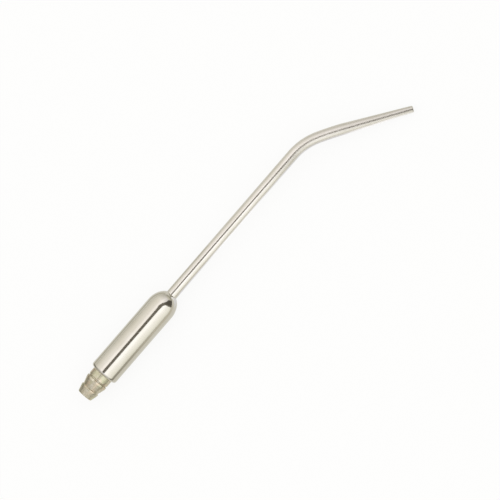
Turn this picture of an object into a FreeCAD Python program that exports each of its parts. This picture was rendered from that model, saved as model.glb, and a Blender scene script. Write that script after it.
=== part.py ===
import FreeCAD, Part
import math
import os

# A surgical aspirator tip: a polished, hollow barrel to hold it by, a long thin suction tube soldered into
# its nose, and a stepped hose connector soldered into its rear. Millimetres, +Z up. It lies on its side, as
# it comes to rest on a tray: on the straight part of the barrel and on the rim of the tube's mouth, which
# leaves the bend a little below level. Each piece is first made in the instrument's own frame: +X along the
# barrel's axis from the middle of its rear face, and the tube bent towards -Y.

# Barrel: turned and bored from the rear
barrel_diameter = 11.0
barrel_straight = 31.5       # rear face to the start of the nose
barrel_wall = 1.8
nose_length = 7.2            # long half axis of the nose's oval
nose_seat = 5.0              # length of the hole that the tube is soldered into
drill_angle = 118.0          # degrees, of the cone that ends the hollow
rear_edge_round = 1.0
rear_bore_chamfer = 0.15

# Suction tube: drawn tube, bent over a former and swaged down to its mouth
tube_diameter = 4.3
tube_wall = 0.5
tube_inside = 6.0            # length that stands free in the barrel's hollow
tube_run = 67.4              # nose to the start of the bend
bend_radius = 22.0           # to the tube's centre line
bend_angle = 28.0            # degrees
easing_radius = 110.0        # the last, slack part of the bend
easing_angle = 5.0           # degrees
taper_length = 26.9
tip_diameter = 2.5
tip_wall = 0.4
rim_chamfer = 0.13           # on both edges of the mouth's rim

# Hose connector: turned nipple with two barbs, from the barrel's rear face back to its free end
collar_length = 2.7
collar_seat = 0.25           # width of the shoulder that bears on the barrel's rear face
groove_width = 0.5
groove_depth = 0.45          # below the large barb
large_barb_diameter = 8.4
large_barb_land = 0.8
large_barb_ramp = 2.8        # axial length of the cone that the hose climbs
small_barb_diameter = 7.3
small_barb_step = 0.35       # height of its steep face above the foot of the large ramp
small_barb_back = 0.25       # axial length of that steep face
small_barb_land = 0.45
small_barb_ramp = 2.8
nipple_end_wall = 0.7
nipple_end_chamfer = 0.3
connector_bore = 4.4
bore_mouth_chamfer = 0.3
spigot_length = 7.0          # the part that is soldered into the barrel
spigot_lead = 0.4            # chamfer on the spigot's front end
edge_break = 0.12            # chamfer on the other turned edges

# Fits
solder_gap = 0.03            # film of solder round the tube and round the spigot

X_AXIS = FreeCAD.Vector(1, 0, 0)
Z_AXIS = FreeCAD.Vector(0, 0, 1)
ORIGIN = FreeCAD.Vector(0, 0, 0)
FULL_TURN = 360.0
LARGEST_SHARE = 0.45         # of a side of an outline, that a chamfer at its end may take

barrel_radius = barrel_diameter / 2
hollow_radius = barrel_radius - barrel_wall
tube_radius = tube_diameter / 2
tube_bore_radius = tube_radius - tube_wall
tip_radius = tip_diameter / 2
tip_bore_radius = tip_radius - tip_wall


def point(x, radius):
    """A point of an outline: its place along the axis and its distance from the axis."""
    return FreeCAD.Vector(x, radius, 0)


def line(start, end):
    return Part.LineSegment(start, end).toShape()


def circle_disc(radius):
    """Disc square to the X axis, round the origin."""
    return Part.Face(Part.Wire([Part.Circle(ORIGIN, X_AXIS, radius).toShape()]))


def turned(edges):
    """Solid of revolution about the X axis, from the edges of a closed outline in any order."""
    outline = Part.Wire(Part.sortEdges(edges)[0])
    return Part.Face(outline).revolve(ORIGIN, X_AXIS, FULL_TURN)


def chamfered_outline(corners):
    """Closed outline's edges through corners of (x, radius, chamfer), each chamfer as long on both sides."""
    places = [point(x, radius) for x, radius, _ in corners]
    cuts = []
    for i, (_, _, chamfer) in enumerate(corners):
        to_last = places[i - 1] - places[i]
        to_next = places[(i + 1) % len(places)] - places[i]
        reach = min(chamfer, LARGEST_SHARE * min(to_last.Length, to_next.Length))
        if reach == 0:
            cuts.append(places[i])
        else:
            cuts.append(places[i] + to_last.normalize() * reach)
            cuts.append(places[i] + to_next.normalize() * reach)
    return [line(cuts[i - 1], cuts[i]) for i in range(len(cuts))]


def nose_arc(end_radius):
    """Arc of the nose's oval, from the barrel's full width forward to where it has come in to end_radius."""
    end_angle = math.asin(end_radius / barrel_radius)
    between = (end_angle + math.pi / 2) / 2
    unit_arc = Part.Arc(
        point(0, 1),
        point(math.cos(between), math.sin(between)),
        point(math.cos(end_angle), math.sin(end_angle)),
    ).toShape()
    stretch = FreeCAD.Matrix()
    stretch.scale(nose_length, barrel_radius, 1)
    stretch.move(barrel_straight, 0, 0)
    return unit_arc.transformGeometry(stretch)


nose_hole_radius = tube_radius + solder_gap
nose_front = barrel_straight + nose_length * math.sqrt(1 - (nose_hole_radius / barrel_radius) ** 2)
hollow_front = nose_front - nose_seat
hollow_shoulder = hollow_front - (hollow_radius - nose_hole_radius) / math.tan(math.radians(drill_angle / 2))


def make_barrel():
    """Hollow barrel with a rounded rear edge, an oval nose and the hole for the tube."""
    round_foot = point(0, barrel_radius - rear_edge_round)
    round_top = point(rear_edge_round, barrel_radius)
    sagitta = rear_edge_round * (1 - math.sqrt(0.5))
    round_middle = point(sagitta, barrel_radius - sagitta)
    chamfer_outer = point(0, hollow_radius + rear_bore_chamfer)
    chamfer_inner = point(rear_bore_chamfer, hollow_radius)
    outside = [
        line(chamfer_inner, chamfer_outer),
        line(chamfer_outer, round_foot),
        Part.Arc(round_foot, round_middle, round_top).toShape(),
        line(round_top, point(barrel_straight, barrel_radius)),
        nose_arc(nose_hole_radius),
    ]
    inside = [
        line(point(nose_front, nose_hole_radius), point(hollow_front, nose_hole_radius)),
        line(point(hollow_front, nose_hole_radius), point(hollow_shoulder, hollow_radius)),
        line(point(hollow_shoulder, hollow_radius), chamfer_inner),
    ]
    return turned(outside + inside)


def tube_section():
    """Ring-shaped section of the parallel part of the tube."""
    return circle_disc(tube_radius).cut(circle_disc(tube_bore_radius)).Faces[0]


def tube_bend(angle, radius):
    """Bend of the parallel tube, from the origin and the +X direction towards -Y."""
    return tube_section().revolve(FreeCAD.Vector(0, -radius, 0), Z_AXIS, -angle)


def end_of_bend(angle, radius):
    """Frame at the far end of that bend, with +X along the tube."""
    turn = math.radians(angle)
    end = FreeCAD.Vector(radius * math.sin(turn), -radius * (1 - math.cos(turn)), 0)
    return FreeCAD.Placement(end, FreeCAD.Rotation(Z_AXIS, -angle))


def tube_taper():
    """Swaged end of the tube, along +X from the origin, with both edges of its mouth's rim chamfered."""
    return turned(
        chamfered_outline(
            [
                (0, tube_radius, 0),
                (taper_length, tip_radius, rim_chamfer),
                (taper_length, tip_bore_radius, rim_chamfer),
                (0, tube_bore_radius, 0),
            ]
        )
    )


def placed(shape, frame):
    copy = shape.copy()
    copy.Placement = frame.multiply(copy.Placement)
    return copy


tube_start = FreeCAD.Placement(FreeCAD.Vector(hollow_front - tube_inside, 0, 0), FreeCAD.Rotation())
bend_start = FreeCAD.Placement(FreeCAD.Vector(nose_front + tube_run, 0, 0), FreeCAD.Rotation())
easing_start = bend_start.multiply(end_of_bend(bend_angle, bend_radius))
taper_start = easing_start.multiply(end_of_bend(easing_angle, easing_radius))


def make_suction_tube():
    """One tube, from its square end in the barrel's hollow to the rounded rim of its mouth."""
    straight = tube_section().extrude(bend_start.Base - tube_start.Base)
    stretches = [
        placed(straight, tube_start),
        placed(tube_bend(bend_angle, bend_radius), bend_start),
        placed(tube_bend(easing_angle, easing_radius), easing_start),
        placed(tube_taper(), taper_start),
    ]
    return stretches[0].multiFuse(stretches[1:]).Solids[0]


def make_hose_connector():
    """Nipple with two barbs behind the barrel, its spigot inside the barrel, and a bore right through."""
    groove_front = -collar_length
    groove_back = groove_front - groove_width
    large_crest = groove_back - large_barb_land
    ramp_foot = large_crest - large_barb_ramp
    small_crest_front = ramp_foot - small_barb_back
    small_crest_back = small_crest_front - small_barb_land
    free_end = small_crest_back - small_barb_ramp
    bore_radius = connector_bore / 2
    end_radius = bore_radius + nipple_end_wall
    small_barb_radius = small_barb_diameter / 2
    large_barb_radius = large_barb_diameter / 2
    groove_radius = large_barb_radius - groove_depth
    collar_radius = hollow_radius + rear_bore_chamfer + collar_seat
    spigot_radius = hollow_radius - solder_gap
    return turned(
        chamfered_outline(
            [
                (spigot_length, bore_radius, 0),
                (spigot_length, spigot_radius, spigot_lead),
                (0, spigot_radius, 0),
                (0, collar_radius, 0),
                (groove_front, collar_radius, edge_break),
                (groove_front, groove_radius, 0),
                (groove_back, groove_radius, 0),
                (groove_back, large_barb_radius, edge_break),
                (large_crest, large_barb_radius, 0),
                (ramp_foot, small_barb_radius - small_barb_step, 0),
                (small_crest_front, small_barb_radius, edge_break),
                (small_crest_back, small_barb_radius, 0),
                (free_end, end_radius, nipple_end_chamfer),
                (free_end, bore_radius, bore_mouth_chamfer),
            ]
        )
    )


def rest_roll():
    """Roll about the barrel's axis, in degrees, that lays the rim of the tube's mouth on the ground."""
    # The rim bears on the outer edge of its chamfer, which is this share of the taper back from the end
    share = rim_chamfer / math.hypot(taper_length, tube_radius - tip_radius)
    edge_centre = taper_start.multVec(point(taper_length * (1 - share), 0))
    edge_radius = tip_radius + (tube_radius - tip_radius) * share
    tip_direction = taper_start.Rotation.multVec(X_AXIS)
    sine = 0.0
    for _ in range(10):
        # How far the edge reaches below its centre depends a little on the roll itself
        edge_reach = edge_radius * math.sqrt(1 - (tip_direction.y * sine) ** 2)
        sine = (barrel_radius - edge_reach) / -edge_centre.y
    return math.degrees(math.asin(sine))


def rest_placement(shapes):
    """Lays the instrument on the ground plane, with the middle of its footprint at the origin."""
    rolled = FreeCAD.Placement(ORIGIN, FreeCAD.Rotation(X_AXIS, rest_roll()))
    box = Part.makeCompound([placed(shape, rolled) for shape in shapes]).optimalBoundingBox(False)
    lift = FreeCAD.Placement(FreeCAD.Vector(-box.Center.x, -box.Center.y, barrel_radius), FreeCAD.Rotation())
    return lift.multiply(rolled)


pieces = {
    "handle_barrel": make_barrel(),
    "suction_tube": make_suction_tube(),
    "hose_connector": make_hose_connector(),
}
at_rest = rest_placement(pieces.values())

os.makedirs("parts", exist_ok=True)
for name, piece in pieces.items():
    placed(piece, at_rest).exportStep(os.path.join("parts", name + ".step"))
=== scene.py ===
import math

import bpy
from mathutils import Euler, Matrix, Vector


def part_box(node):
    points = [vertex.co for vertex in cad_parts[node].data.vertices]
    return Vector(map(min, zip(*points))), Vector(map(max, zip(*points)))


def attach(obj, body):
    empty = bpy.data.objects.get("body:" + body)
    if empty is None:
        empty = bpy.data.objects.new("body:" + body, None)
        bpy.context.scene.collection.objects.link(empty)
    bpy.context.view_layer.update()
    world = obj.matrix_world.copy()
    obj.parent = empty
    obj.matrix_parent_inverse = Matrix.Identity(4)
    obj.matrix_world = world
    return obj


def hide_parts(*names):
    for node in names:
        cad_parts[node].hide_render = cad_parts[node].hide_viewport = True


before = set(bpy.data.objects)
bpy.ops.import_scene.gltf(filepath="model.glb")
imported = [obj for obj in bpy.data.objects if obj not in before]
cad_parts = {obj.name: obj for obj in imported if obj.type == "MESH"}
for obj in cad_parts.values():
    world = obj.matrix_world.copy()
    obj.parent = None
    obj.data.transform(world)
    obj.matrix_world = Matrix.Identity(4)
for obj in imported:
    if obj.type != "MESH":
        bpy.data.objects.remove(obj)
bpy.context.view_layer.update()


# Barrel: the hollow round body that the hand holds, with an oval nose. It is turned from brass, nickel
# plated and buffed bright. The tube is soldered into its nose and the hose connector into its open rear.
barrel_radius = 5.5
barrel_straight = 31.5
nose_length = 7.2
nose_seat = 5.0
hollow_radius = 3.7
drill_half_angle = math.radians(59)
rear_rounding = 1.0
rear_bore_chamfer = 0.15
nose_hole_rounding = 0.07
nose_rings = 56
tube_radius = 2.15
solder_gap = 0.03
lie_angle = math.radians(11.1323)  # the instrument is rolled this much to rest on its mouth

barrel_low, barrel_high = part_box("handle_barrel")
barrel_axis = (barrel_low + barrel_high) / 2
rear_centre = Vector((barrel_low.x, barrel_axis.y, barrel_axis.z))
# Sizes are in mm along the barrel from the middle of its rear face, and the tube bends towards -Y
as_it_lies = Matrix.LocRotScale(rear_centre, Euler((lie_angle, 0, 0)), Vector((0.001, 0.001, 0.001)))

nose_hole = tube_radius + solder_gap
nose_front = barrel_straight + nose_length * math.sqrt(1 - (nose_hole / barrel_radius) ** 2)
hollow_front = nose_front - nose_seat
drill_shoulder = hollow_front - (hollow_radius - nose_hole) / math.tan(drill_half_angle)

rounding_share = 0.85  # of a side of an outline, that the rounding at its end may take
widest_ring_gap = 0.9
sharpest_smooth_edge = math.radians(32)


def eased(corners, steps=7):
    """Outline through corners of (x, radius, rounding), as the points of a smooth section."""
    drawn = []
    for i, (x, radius, rounding) in enumerate(corners):
        corner = Vector((x, radius))
        before = Vector(corners[i - 1][:2]) - corner
        after = Vector(corners[(i + 1) % len(corners)][:2]) - corner
        if rounding == 0:
            drawn.append(corner)
            continue
        half = before.angle(after) / 2
        longest = rounding_share * min(before.length, after.length)
        reach = min(rounding / math.tan(half), longest)
        centre = corner + (before.normalized() + after.normalized()).normalized() * reach / math.cos(half)
        first = corner + before.normalized() * reach - centre
        last = corner + after.normalized() * reach - centre
        swept = first.angle_signed(last)
        for k in range(steps + 1):
            turn = -swept * k / steps
            drawn.append(centre + Matrix.Rotation(turn, 2) @ first)
    outline = []
    for i, start in enumerate(drawn):
        run = drawn[(i + 1) % len(drawn)] - start
        pieces = max(1, math.ceil(run.length / widest_ring_gap))
        for k in range(pieces):
            # Rings stand closer together at both ends of a run, so that its reflections stay true
            share = (1 - math.cos(math.pi * k / pieces)) / 2
            outline.append(start + run * share)
    return outline


def straight_course(s):
    return Vector((s, 0, 0)), 0.0


def spun(name, outline, course=straight_course, segments=160):
    """Smooth piece from a closed outline of (distance, radius), spun round a course."""
    corners, places, faces = [], [], []
    for s, radius in outline:
        centre, heading = course(s)
        side = Vector((math.sin(heading), math.cos(heading), 0))
        for k in range(segments):
            turn = 2 * math.pi * k / segments
            y, z = radius * math.cos(turn), radius * math.sin(turn)
            corners.append(as_it_lies @ (centre + side * y + Vector((0, 0, z))))
            places += [s, y, z]
    rings = len(outline)
    for i in range(rings):
        here, ahead = i * segments, (i + 1) % rings * segments
        for k in range(segments):
            n = (k + 1) % segments
            faces.append((here + k, here + n, ahead + n, ahead + k))
    mesh = bpy.data.meshes.new(name)
    mesh.from_pydata(corners, [], faces)
    # Each point keeps its place on the straight, unbent piece in mm, which the finishes read
    mesh.attributes.new("place", "FLOAT_VECTOR", "POINT").data.foreach_set("vector", places)
    mesh.polygons.foreach_set("use_smooth", [True] * len(faces))
    mesh.set_sharp_from_angle(angle=sharpest_smooth_edge)
    piece = bpy.data.objects.new(name, mesh)
    bpy.context.scene.collection.objects.link(piece)
    return piece


nose = []
nose_widest = math.radians(90)
nose_end = math.asin(nose_hole / barrel_radius)
for k in range(nose_rings + 1):
    turn = nose_widest + (nose_end - nose_widest) * k / nose_rings
    rounding = nose_hole_rounding if k == nose_rings else 0
    nose.append((barrel_straight + nose_length * math.cos(turn), barrel_radius * math.sin(turn), rounding))
barrel = spun("barrel_body", eased(
    [(0, hollow_radius + rear_bore_chamfer, 0), (0, barrel_radius, rear_rounding)]
    + nose
    + [
        (hollow_front, nose_hole, 0),
        (drill_shoulder, hollow_radius, 0),
        (rear_bore_chamfer, hollow_radius, 0),
    ],
))


class Wire:
    """One output of a node. Sums written with it add the Math nodes that work them out."""

    def __init__(self, finish, socket):
        self.finish = finish
        self.socket = socket

    def math(self, operation, a, b):
        return self.finish.node("ShaderNodeMath", {"operation": operation}, {0: a, 1: b})

    def __add__(self, other):
        return self.math("ADD", self, other)

    def __radd__(self, other):
        return self.math("ADD", other, self)

    def __sub__(self, other):
        return self.math("SUBTRACT", self, other)

    def __rsub__(self, other):
        return self.math("SUBTRACT", other, self)

    def __mul__(self, other):
        return self.math("MULTIPLY", self, other)

    def __rmul__(self, other):
        return self.math("MULTIPLY", other, self)


class Finish:
    """The nodes of a material or of the world, which node() adds one at a time."""

    def __init__(self, owner):
        self.owner = owner
        owner.use_nodes = True
        self.tree = owner.node_tree
        self.tree.nodes.clear()

    def node(self, kind, settings, sockets, output=None):
        """Adds a node with its settings and the values or links of its sockets, and gives its output."""
        made = self.tree.nodes.new(kind)
        for name, value in settings.items():
            if name == "stops":
                while len(made.color_ramp.elements) < len(value):
                    made.color_ramp.elements.new(1.0)
                for element, (place, colour) in zip(made.color_ramp.elements, value):
                    element.position = place
                    element.color = colour
            else:
                setattr(made, name, value)
        for name, value in sockets.items():
            if isinstance(name, int):
                socket = made.inputs[name]
            else:
                socket = next(s for s in made.inputs if s.name == name and s.enabled)
            if isinstance(value, Wire):
                self.tree.links.new(value.socket, socket)
            else:
                socket.default_value = value
        usable = [s for s in made.outputs if s.enabled and output in (None, s.name)]
        return Wire(self, usable[0]) if usable else None

    def stretched(self, place, along, across):
        """The place on the piece, drawn out so that one unit of a pattern is 1/along by 1/across mm."""
        return self.node(
            "ShaderNodeVectorMath", {"operation": "MULTIPLY"}, {0: place, 1: (along, across, across)}
        )

    def noise(self, place, along, across, detail=3.0):
        drawn_out = self.stretched(place, along, across)
        return self.node(
            "ShaderNodeTexNoise",
            {"noise_dimensions": "3D"},
            {"Vector": drawn_out, "Scale": 1.0, "Detail": detail, "Roughness": 0.55},
        )

    def between(self, value, low, high, start=0.0, end=1.0):
        """start where value is at low or less, end where it is at high or more, and smooth between."""
        return self.node(
            "ShaderNodeMapRange",
            {"interpolation_type": "SMOOTHSTEP"},
            {"Value": value, "From Min": low, "From Max": high, "To Min": start, "To Max": end},
        )

    def blend(self, factor, a, b):
        """Colour a where factor is 0 and b where it is 1."""
        return self.node("ShaderNodeMix", {"data_type": "RGBA"}, {"Factor": factor, "A": a, "B": b})


def put_on(piece, finish, node):
    """Gives the piece its finish, and the place in the instrument of the solid that it stands for."""
    piece.data.materials.append(finish.owner)
    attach(piece, "root")
    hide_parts(node)


barrel_finish = Finish(bpy.data.materials.new("bright_nickel"))
place = barrel_finish.node("ShaderNodeAttribute", {"attribute_name": "place"}, {}, "Vector")
buffing = barrel_finish.noise(place, 5.5, 0.25, 4.0)      # fine rings left by the buffing wheel
handling = barrel_finish.noise(place, 0.16, 0.22, 2.0)    # broad, faint smears from gloves
scuffs = barrel_finish.noise(place, 1.6, 9.0, 2.0)
scuff_lines = barrel_finish.between(scuffs, 0.66, 0.74)
barrel_colour = barrel_finish.blend(
    barrel_finish.between(handling, 0.35, 0.7), (0.562, 0.534, 0.45, 1), (0.535, 0.505, 0.415, 1)
)
barrel_metal = barrel_finish.node(
    "ShaderNodeBsdfPrincipled",
    {},
    {
        "Base Color": barrel_colour,
        "Metallic": 1.0,
        "Roughness": 0.065 + 0.05 * buffing + 0.04 * handling + 0.1 * scuff_lines,
        "Normal": barrel_finish.node(
            "ShaderNodeBump", {}, {"Strength": 1.0, "Distance": 0.0000017, "Height": buffing}
        ),
    },
)
barrel_finish.node("ShaderNodeOutputMaterial", {}, {"Surface": barrel_metal})
put_on(barrel, barrel_finish, "handle_barrel")


# Suction tube: drawn nickel-silver tube, soldered into the barrel's nose, bent over a former near its end,
# and swaged down from there to its open mouth, whose rim is polished round. Buffed along its length.
tube_wall = 0.5
tube_inside = 6.0
tube_run = 67.4
bend_radius = 22.0
bend_angle = math.radians(28)
easing_radius = 110.0
easing_angle = math.radians(5)
taper_length = 26.9
mouth_radius = 1.25
mouth_wall = 0.4
cut_end_rounding = 0.05
rim_outer_rounding = 0.33
rim_inner_rounding = 0.06
worn_straight = 25.0  # length before the bend over which the polish begins to dull

tube_rear = hollow_front - tube_inside
bend_start = nose_front + tube_run
easing_start = bend_start + bend_radius * bend_angle
taper_start = easing_start + easing_radius * easing_angle
mouth = taper_start + taper_length
bends = [(bend_start, bend_radius, bend_angle), (easing_start, easing_radius, easing_angle)]


def bent_course(s):
    """Centre and heading of the tube, s mm along it."""
    centre, heading = Vector((min(s, bend_start), 0, 0)), 0.0
    for start, radius, angle in bends:
        turn = min(max((s - start) / radius, 0), angle)
        after = heading + turn
        forward = math.sin(after) - math.sin(heading)
        sideways = math.cos(after) - math.cos(heading)
        centre += radius * Vector((forward, sideways, 0))
        heading = after
    centre += max(s - taper_start, 0) * Vector((math.cos(heading), -math.sin(heading), 0))
    return centre, heading


tube = spun("bent_tube", eased([
    (tube_rear, tube_radius - tube_wall, 0),
    (tube_rear, tube_radius, cut_end_rounding),
    (bend_start, tube_radius, 0),
    (easing_start, tube_radius, 0),
    (taper_start, tube_radius, 0),
    (mouth, mouth_radius, rim_outer_rounding),
    (mouth, mouth_radius - mouth_wall, rim_inner_rounding),
    (taper_start, tube_radius - tube_wall, 0),
    (easing_start, tube_radius - tube_wall, 0),
    (bend_start, tube_radius - tube_wall, 0),
]), bent_course, segments=96)

tube_finish = Finish(bpy.data.materials.new("bright_drawn_tube"))
place = tube_finish.node("ShaderNodeAttribute", {"attribute_name": "place"}, {}, "Vector")
drawing = tube_finish.noise(place, 0.12, 7.0, 3.0)        # long, fine lines from the drawing die
handling = tube_finish.noise(place, 0.12, 0.4, 2.0)
far_along = tube_finish.node("ShaderNodeSeparateXYZ", {}, {"Vector": place}, "X")
# The bent and swaged end is buffed less bright
worn_end = tube_finish.between(far_along, bend_start - worn_straight, taper_start)
tube_colour = tube_finish.blend(
    tube_finish.between(handling, 0.35, 0.7), (0.6, 0.57, 0.495, 1), (0.565, 0.537, 0.456, 1)
)
tube_metal = tube_finish.node(
    "ShaderNodeBsdfPrincipled",
    {},
    {
        "Base Color": tube_colour,
        "Metallic": 1.0,
        "Roughness": 0.11 + 0.08 * drawing + 0.05 * handling + 0.16 * worn_end,
        "Normal": tube_finish.node(
            "ShaderNodeBump", {}, {"Strength": 1.0, "Distance": 0.000001, "Height": drawing}
        ),
    },
)
tube_finish.node("ShaderNodeOutputMaterial", {}, {"Surface": tube_metal})
put_on(tube, tube_finish, "suction_tube")


# Hose connector: a nipple with a collar and two barbs, turned from brass, bored right through and soldered
# into the barrel's rear. Its thin nickel plate is left as it was turned, so it is duller and yellower.
connector_bore = 2.2
spigot_radius = hollow_radius - solder_gap
collar_radius = 4.1
groove_radius = 3.75
large_barb = 4.2
ramp_foot_radius = 3.3
small_barb = 3.65
free_end_radius = 2.9
spigot_front = 7.0
collar_back = -2.7
groove_back = -3.2
large_crest_back = -4.0
ramp_foot = -6.8
small_crest_front = -7.05
small_crest_back = -7.5
free_end = -10.3

connector = spun("stepped_connector", eased([
    (spigot_front, connector_bore, 0.05),
    (free_end, connector_bore, 0.3),
    (free_end, free_end_radius, 0.32),
    (small_crest_back, small_barb, 0.16),
    (small_crest_front, small_barb, 0.14),
    (ramp_foot, ramp_foot_radius, 0.12),
    (large_crest_back, large_barb, 0.16),
    (groove_back, large_barb, 0.14),
    (groove_back, groove_radius, 0.08),
    (collar_back, groove_radius, 0.08),
    (collar_back, collar_radius, 0.14),
    (0, collar_radius, 0),
    (0, spigot_radius, 0),
    (spigot_front, spigot_radius, 0.4),
]), segments=144)

connector_finish = Finish(bpy.data.materials.new("turned_dull_nickel"))
place = connector_finish.node("ShaderNodeAttribute", {"attribute_name": "place"}, {}, "Vector")
along = connector_finish.node("ShaderNodeSeparateXYZ", {}, {"Vector": place}, "X")
across = connector_finish.node("ShaderNodeSeparateXYZ", {}, {"Vector": place}, "Y")
tool_lines = connector_finish.noise(place, 7.0, 0.2, 2.0)  # rings left by the lathe tool
mottle = connector_finish.noise(place, 0.9, 1.1, 4.0)      # patchy plate and old polish
tarnish = connector_finish.noise(place, 0.45, 0.5, 1.0)    # where the plate has lost its colour
hue = connector_finish.noise(place, 0.3, 0.35, 1.0)        # broad shift between greenish and pinkish
# Old polish and grime stay in the groove and at the foot of the large barb's ramp, and painted shade
# darkens the same places
groove_shade_and_grime = (
    connector_finish.between(along, groove_back - 0.1, groove_back + 0.2)
    * connector_finish.between(along, collar_back - 0.25, collar_back + 0.05, 1.0, 0.0)
)
foot_shade_and_grime = (
    connector_finish.between(along, ramp_foot - 0.1, ramp_foot + 0.1)
    * connector_finish.between(along, ramp_foot + 0.2, ramp_foot + 1.4, 1.0, 0.0)
)
# The side that the tube bends towards has more of this painted shade and grime in the groove, and less at
# the ramp's foot
near_side = connector_finish.between(across, -1.2, 1.2, 1.0, 0.0)
shade_and_grime = (0.2 + 0.6 * near_side) * groove_shade_and_grime + (0.4 - 0.3 * near_side) * foot_shade_and_grime
clean_plate = connector_finish.blend(
    connector_finish.between(mottle, 0.36, 0.66), (0.57, 0.527, 0.4, 1), (0.445, 0.402, 0.28, 1)
)
tarnished_plate = connector_finish.blend(
    connector_finish.between(hue, 0.4, 0.58), (0.485, 0.474, 0.31, 1), (0.58, 0.48, 0.34, 1)
)
connector_colour = connector_finish.blend(
    connector_finish.between(tarnish, 0.4, 0.58, 0.0, 0.75), clean_plate, tarnished_plate
)
connector_metal = connector_finish.node(
    "ShaderNodeBsdfPrincipled",
    {},
    {
        # The dark colour mixed in here is painted shade with grime, in the groove and at the ramp's foot
        "Base Color": connector_finish.blend(0.5 * shade_and_grime, connector_colour, (0.2, 0.168, 0.11, 1)),
        "Metallic": 1.0,
        "Roughness": 0.26 + 0.08 * tool_lines + 0.16 * mottle + 0.1 * shade_and_grime,
        "Normal": connector_finish.node(
            "ShaderNodeBump", {}, {"Strength": 1.0, "Distance": 0.000012, "Height": tool_lines + mottle}
        ),
    },
)
connector_finish.node("ShaderNodeOutputMaterial", {}, {"Surface": connector_metal})
put_on(connector, connector_finish, "hose_connector")


# Floor: a plain white table top, matt, that the instrument lies on. It reads as white to the camera and in
# the metal, and keeps the instrument's soft shadow.
floor_half = 2.0
plain_white = 0.87  # share of the table's surface that reads as plain white; the rest takes the shadow
floor_mesh = bpy.data.meshes.new("floor")
floor_corners = [(x * floor_half, y * floor_half, 0) for x, y in [(-1, -1), (1, -1), (1, 1), (-1, 1)]]
floor_mesh.from_pydata(floor_corners, [], [(0, 1, 2, 3)])
floor = bpy.data.objects.new("floor", floor_mesh)
bpy.context.scene.collection.objects.link(floor)
floor_finish = Finish(bpy.data.materials.new("white_table"))
seen_by_camera = floor_finish.node("ShaderNodeLightPath", {}, {}, "Is Camera Ray")
seen_in_metal = floor_finish.node("ShaderNodeLightPath", {}, {}, "Is Glossy Ray")
seen_through = floor_finish.node("ShaderNodeLightPath", {}, {}, "Is Transmission Ray")
floor_surface = floor_finish.node(
    "ShaderNodeMixShader",
    {},
    {
        "Fac": plain_white * (seen_by_camera + seen_in_metal + seen_through),
        1: floor_finish.node("ShaderNodeBsdfDiffuse", {}, {"Color": (0.95, 0.95, 0.94, 1)}),
        2: floor_finish.node("ShaderNodeEmission", {}, {"Color": (1, 1, 1, 1), "Strength": 1.0}),
    },
)
floor_finish.node("ShaderNodeOutputMaterial", {}, {"Surface": floor_surface})
floor.data.materials.append(floor_finish.owner)


# Studio: two long soft panels arch over the instrument on either side, with a narrow dark gap between them
# above the barrel. Ahead of the nose the right one ends against a dark backing, and the left one leans over
# towards it. Grey cards stand low beside the barrel, and a white one lies along the tube.
panel_distance = 150.0
panels_rear = -400.0
right_panel_ahead = 119.0
left_panel_ahead = 370.0
panel_rows = 48
panel_columns = 64


def stepped(value, stops):
    """Value read off a line through stops of (place, height)."""
    for (low, a), (high, b) in zip(stops, stops[1:]):
        if value <= high:
            return a + (b - a) * min(max((value - low) / (high - low), 0), 1)
    return stops[-1][1]


def glowing_sheet(name, rows, columns, corner, glow):
    """Sheet whose points lie at corner(i, j) and glow by glow(i, j), for i and j from 0 to 1."""
    corners, colours, faces = [], [], []
    for row in range(rows + 1):
        for column in range(columns + 1):
            i, j = row / rows, column / columns
            corners.append(as_it_lies @ Vector(corner(i, j)))
            colours += list(glow(i, j)) + [1.0]
            if row < rows and column < columns:
                here = row * (columns + 1) + column
                faces.append((here, here + 1, here + columns + 2, here + columns + 1))
    mesh = bpy.data.meshes.new(name)
    mesh.from_pydata(corners, [], faces)
    mesh.attributes.new("glow", "FLOAT_COLOR", "POINT").data.foreach_set("color", colours)
    sheet = bpy.data.objects.new(name, mesh)
    bpy.context.scene.collection.objects.link(sheet)
    # The sheets are there for the metal to mirror, and the table is lit evenly by the world alone
    sheet.visible_camera = False
    sheet.visible_diffuse = False
    sheet.visible_shadow = False
    shine = Finish(bpy.data.materials.new(name))
    glow_colour = shine.node("ShaderNodeAttribute", {"attribute_name": "glow"}, {}, "Color")
    emission = shine.node("ShaderNodeEmission", {}, {"Color": glow_colour, "Strength": 1.0})
    shine.node("ShaderNodeOutputMaterial", {}, {"Surface": emission})
    sheet.data.materials.append(shine.owner)


def arched_sheet(name, distance, inner, outer, front, glow):
    """
    Sheet bent round the barrel's line from angle inner(x) to angle outer, that glows by glow(angle, x).
    The angles are degrees from straight above, and that x counts from the barrel's rear in distances.
    """
    def place(i, j):
        x = panels_rear + (front - panels_rear) * j
        # The points stand closer together beside the gap, where the light changes fastest
        return inner(x / distance) + (outer - inner(x / distance)) * i ** 1.5, x

    def corner(i, j):
        angle, x = place(i, j)
        return x, distance * math.sin(math.radians(angle)), distance * math.cos(math.radians(angle))

    def glow_there(i, j):
        angle, x = place(i, j)
        return glow(angle, x / distance)

    glowing_sheet(name, panel_rows, panel_columns, corner, glow_there)


def tinted(level, green, blue):
    return level, level * green, level * blue


def fading_rear(x):
    return stepped(x, [(-2.5, 0.5), (-1.2, 0.55), (-0.6, 0.68), (-0.35, 0.8), (-0.14, 1.0)])


def right_glow(angle, x):
    level = stepped(-angle, [(2, 1.5), (6, 1.85), (20, 1.85), (34, 1.6),
                             (50, 1.47), (62, 1.38), (73, 1.18), (78, 1.0)])
    return tinted(level * fading_rear(x), 1.01, stepped(-angle, [(5, 1.12), (30, 1.08), (70, 1.0)]))


def left_glow(angle, x):
    level = stepped(angle, [(15, 1.5), (19, 1.66), (31, 1.62), (41, 1.38),
                            (60, 1.28), (75, 1.12), (98, 0.95)])
    level *= stepped(x, [(0.8, 1.0), (1.25, 0.84), (1.95, 0.72), (2.45, 0.64)])
    return tinted(level * fading_rear(x), 0.985, stepped(angle, [(30, 1.06), (60, 1.0), (98, 0.96)]))


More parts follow.
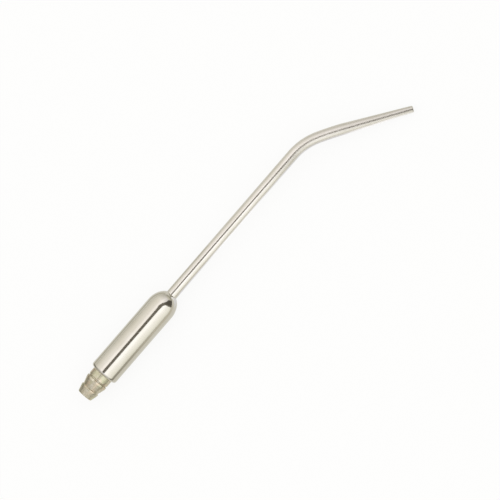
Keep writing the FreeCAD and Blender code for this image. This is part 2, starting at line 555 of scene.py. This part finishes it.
def left_inner_edge(x):
    return stepped(x, [(-0.4, 7), (-0.22, 16.7), (0.17, 16.7), (0.25, 22), (0.43, 21),
                       (0.53, 17), (0.62, 16), (0.75, 12), (0.89, 6.5), (1.05, -1),
                       (1.24, -6), (1.48, -10), (1.79, -13), (2.22, -20)])


def right_inner_edge(x):
    return stepped(x, [(-0.4, 7), (-0.22, -3), (0.17, -3), (0.25, -4), (0.43, -5.5),
                       (0.5, -5), (0.62, -9), (0.745, -19), (0.795, -31)])


def backing_glow(angle, x):
    return tinted(stepped(x, [(0.1, 0.22), (0.3, 0.25), (0.8, 0.25), (1.0, 0.14)]), 0.93, 0.84)


arched_sheet("right_panel", panel_distance, right_inner_edge, -78, right_panel_ahead, right_glow)
arched_sheet("left_panel", panel_distance, left_inner_edge, 98, left_panel_ahead, left_glow)
arched_sheet("dark_backing", panel_distance * 1.1, lambda x: 24, -79, left_panel_ahead, backing_glow)


def standing_card(name, rear, front, beside, foot, by_connector, by_barrel, glow):
    """Card on edge beside the barrel, by_connector high at first and by_barrel high from there on."""
    def corner(i, j):
        height = stepped(j, [(0.26, by_connector), (0.28, by_barrel)])
        return rear + (front - rear) * j, beside, foot + height * i

    glowing_sheet(name, 1, card_columns, corner, lambda i, j: glow(j))


def right_card_glow(j):
    return tinted(stepped(j, [(0.28, 0.32), (0.31, 0.5), (0.62, 0.84)]), 0.97, 0.9)


def left_card_glow(j):
    return tinted(stepped(j, [(0.26, 0.3), (0.3, 0.72)]), 0.985, 0.92)


# The cards darken the edges of the barrel and of the connector in their polish
card_columns = 40
standing_card("right_card", -25, 55, -26, -0.4, 14, 8.4, right_card_glow)
standing_card("left_card", -25, 60, 17, -8.9, 13, 6.6, left_card_glow)

# The white strip turns the tube's lower rim pale in its polish
strip_start = 40.0    # along the tube
strip_nearest = 2.5   # from the tube's middle
strip_width = 12.0
strip_lift = 0.15     # above the table
strip_columns = 60


def beside_tube(i, j):
    """Point on the table beside the tube, on the inside of its bend."""
    centre, heading = bent_course(strip_start + (mouth - strip_start) * j)
    x = centre.x - (strip_nearest + strip_width * i) * math.sin(heading)
    y = centre.y - (strip_nearest + strip_width * i) * math.cos(heading)
    return x, y, strip_lift - barrel_radius / math.cos(lie_angle) - y * math.tan(lie_angle)


def strip_glow(i, j):
    level = stepped(j, [(0.0, 1.05), (0.1, 1.2), (0.22, 1.5), (0.33, 1.5),
                        (0.55, 1.1), (0.74, 1.05), (0.84, 1.6)])
    return tinted(level, 1.02, 1.14)


glowing_sheet("tube_card", 1, strip_columns, beside_tube, strip_glow)

# The world lights the table and the instrument evenly from above, and is greyer towards the horizon
world = bpy.data.worlds.new("studio")
bpy.context.scene.world = world
room = Finish(world)
direction = room.node("ShaderNodeTexCoord", {}, {}, "Generated")
height = room.node("ShaderNodeSeparateXYZ", {}, {"Vector": direction}, "Z")
room_colour = room.node(
    "ShaderNodeValToRGB",
    {"stops": [
        (0.0, (0.44, 0.427, 0.387, 1)),
        (0.12, (0.6, 0.585, 0.535, 1)),
        (0.3, (0.9, 0.88, 0.82, 1)),
        (1.0, (1.05, 1.04, 1.0, 1)),
    ]},
    {"Fac": height},
)
background = room.node("ShaderNodeBackground", {}, {"Color": room_colour, "Strength": 1.0})
room.node("ShaderNodeOutputWorld", {}, {"Surface": background})


# Camera: it looks straight down on the plane that the bent tube lies in, from well back with a long lens.
view_width = 181.8  # mm across the picture at the instrument
picture_turn = math.radians(49.12)
lens = 150.0
sensor_width = 36.0
look_at = Vector((69.08, -10.85, 0))

camera_data = bpy.data.cameras.new("camera")
camera_data.lens = lens
camera_data.sensor_width = sensor_width
camera_data.clip_end = 20.0
camera = bpy.data.objects.new("camera", camera_data)
bpy.context.scene.collection.objects.link(camera)
right = Vector((math.cos(picture_turn), -math.sin(picture_turn), 0))
up = Vector((math.sin(picture_turn), math.cos(picture_turn), 0))
back = Vector((0, 0, 1))
stand = look_at + back * view_width * lens / sensor_width
turned = Matrix((right, up, back)).transposed()
lying = Euler((lie_angle, 0, 0)).to_matrix()
camera.matrix_world = Matrix.LocRotScale(as_it_lies @ stand, (lying @ turned).to_quaternion(), None)
bpy.context.scene.camera = camera

bpy.context.scene.view_settings.view_transform = "Standard"
